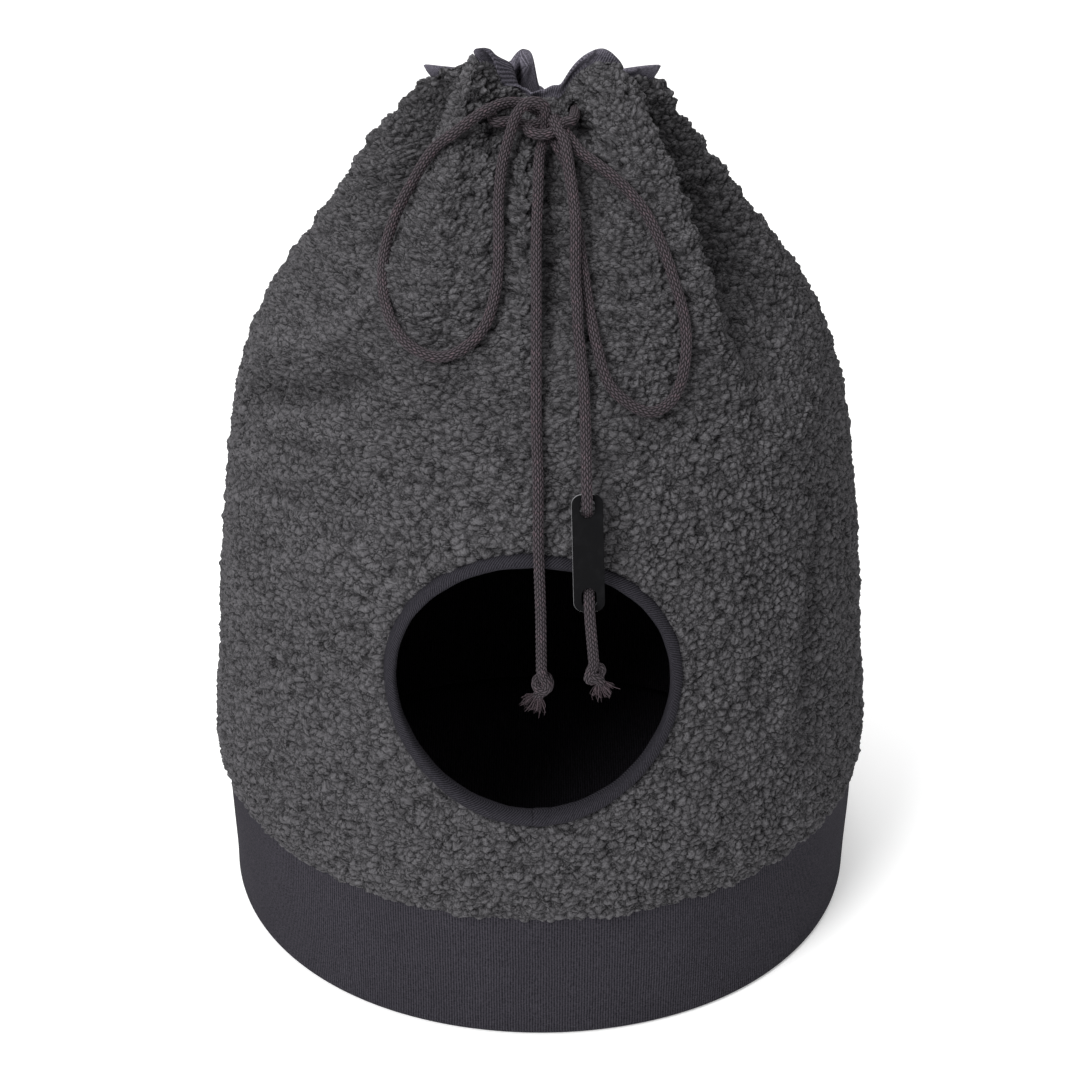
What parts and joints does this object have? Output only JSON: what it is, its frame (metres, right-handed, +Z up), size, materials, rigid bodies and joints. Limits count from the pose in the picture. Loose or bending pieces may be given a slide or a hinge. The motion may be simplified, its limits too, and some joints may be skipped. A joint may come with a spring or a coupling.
{
  "type": "curly-pile cat den with drawstring top",
  "caption": "Soft curly-pile pet den with a round bound entrance, a canvas base band and a gathered mouth closed by a braided drawstring tied in a bow, with a bare tag on its tail.",
  "frame": {"origin": "middle of the floor panel's underside, on the surface the den stands on", "axes": "+Z up to the gathered mouth, the entrance faces -Y, +X is the right-hand side seen from the front"},
  "size_m": [0.4147, 0.4262, 0.5709],
  "materials": {
    "grey_pile": "curly boucle pile, matt",
    "dark_canvas": "fine ribbed canvas, matt",
    "braided_cord": "round braided cord, matt",
    "black_tag": "thin matt strip, bare"
  },
  "bodies": {
    "root": {"sherpa_wall": "grey_pile", "top_facing": "dark_canvas", "base_band": "dark_canvas", "base_floor": "dark_canvas", "entrance_binding": "dark_canvas", "left_lead": "braided_cord", "right_lead": "braided_cord", "left_loop": "braided_cord", "right_loop": "braided_cord", "left_tail": "braided_cord", "right_tail": "braided_cord", "bow_knot": "braided_cord", "end_knot_left": "braided_cord", "end_knot_right": "braided_cord", "cord_tag": "black_tag"}
  },
  "joints": []
}
